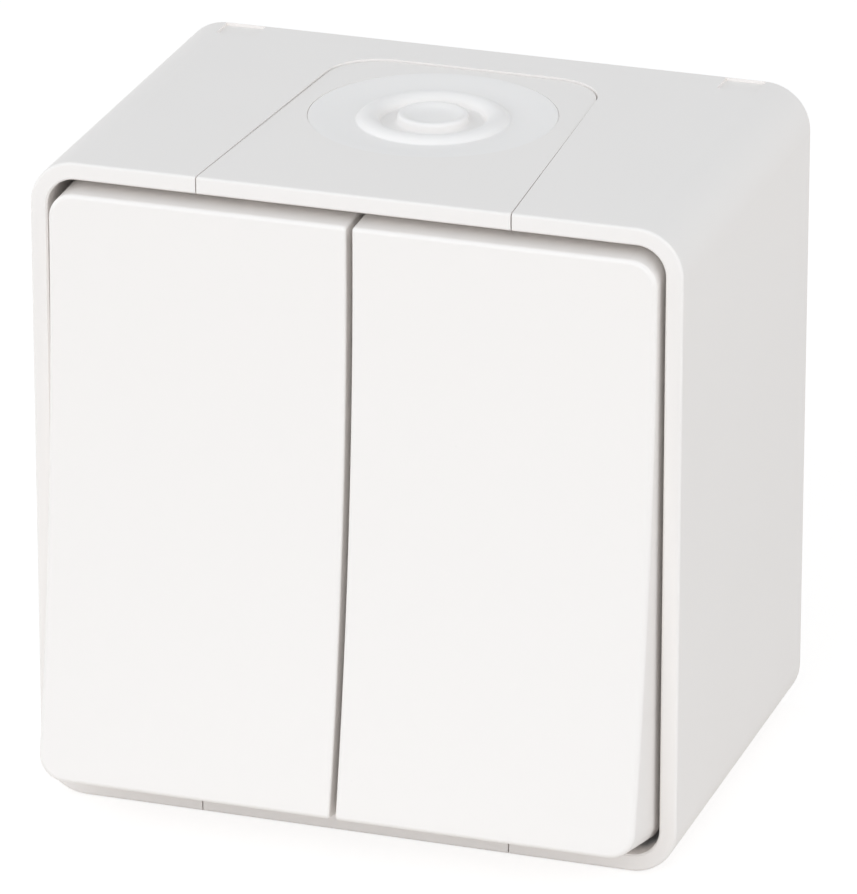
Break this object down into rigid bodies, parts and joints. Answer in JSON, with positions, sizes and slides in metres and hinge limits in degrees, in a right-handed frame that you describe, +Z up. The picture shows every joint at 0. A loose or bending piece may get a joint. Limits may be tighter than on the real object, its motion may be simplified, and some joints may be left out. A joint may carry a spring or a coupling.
{
  "type": "two-gang light switch",
  "caption": "Surface-mounted damp-room light switch: a deep square box with side-by-side concave rockers and cable entries with soft membranes in its top and bottom.",
  "frame": {"origin": "centre of the flat wall face at the back of the housing", "axes": "+Y into the wall, so the rockers look along -Y; +Z up; +X to the right as seen from the front"},
  "size_m": [0.075, 0.0578, 0.0762],
  "materials": {
    "housing_plastic": "white, finely textured moulding",
    "rocker_plastic": "white, satin moulding",
    "membrane_rubber": "white, slightly translucent soft moulding",
    "gasket_rubber": "black, soft",
    "plated_steel": "bright zinc plate",
    "spring_steel": "bright drawn wire and strip",
    "base_plastic": "dark grey moulding",
    "cover_plastic": "off-white moulding",
    "toggle_plastic": "natural white moulding",
    "terminal_brass": "bright brass strip",
    "contact_silver": "silver alloy"
  },
  "bodies": {
    "housing_body": {"rear_housing": "housing_plastic", "top_entry_plate": "housing_plastic", "bottom_entry_plate": "housing_plastic", "top_membrane": "membrane_rubber", "bottom_membrane": "membrane_rubber", "sealing_gasket": "gasket_rubber", "support_frame": "plated_steel", "frame_screws": "plated_steel", "mechanism_base": "base_plastic", "mechanism_cover": "cover_plastic", "cover_screws": "plated_steel", "clamp_springs": "spring_steel", "fixed_contact_tips": "contact_silver", "left_common_terminal": "terminal_brass", "left_upper_terminal": "terminal_brass", "left_lower_terminal": "terminal_brass", "right_common_terminal": "terminal_brass", "right_upper_terminal": "terminal_brass", "right_lower_terminal": "terminal_brass"},
    "left_rocker_body": {"left_rocker": "rocker_plastic", "left_toggle": "toggle_plastic", "left_pivot_pin": "plated_steel", "left_plunger": "cover_plastic", "left_spring": "spring_steel"},
    "left_contact_body": {"left_contact_bridge": "terminal_brass", "left_contact_tips": "contact_silver"},
    "right_rocker_body": {"right_rocker": "rocker_plastic", "right_toggle": "toggle_plastic", "right_pivot_pin": "plated_steel", "right_plunger": "cover_plastic", "right_spring": "spring_steel"},
    "right_contact_body": {"right_contact_bridge": "terminal_brass", "right_contact_tips": "contact_silver"}
  },
  "joints": [
    {"name": "left_rocker_tilt", "type": "hinge", "parent": "housing_body", "child": "left_rocker_body", "pos_m": [-0.0118, -0.0456, 0], "axis": [1, 0, 0], "range_deg": [0, 11]},
    {"name": "left_contact_flip", "type": "hinge", "parent": "housing_body", "child": "left_contact_body", "pos_m": [-0.0118, -0.02337, 0], "axis": [1, 0, 0], "range_deg": [-17, 0]},
    {"name": "right_rocker_tilt", "type": "hinge", "parent": "housing_body", "child": "right_rocker_body", "pos_m": [0.0118, -0.0456, 0], "axis": [1, 0, 0], "range_deg": [0, 11]},
    {"name": "right_contact_flip", "type": "hinge", "parent": "housing_body", "child": "right_contact_body", "pos_m": [0.0118, -0.02337, 0], "axis": [1, 0, 0], "range_deg": [-17, 0]}
  ],
  "couplings": [
    {"joint": "left_contact_flip", "follows": "left_rocker_tilt", "ratio": -1.4545},
    {"joint": "right_contact_flip", "follows": "right_rocker_tilt", "ratio": -1.4545}
  ]
}
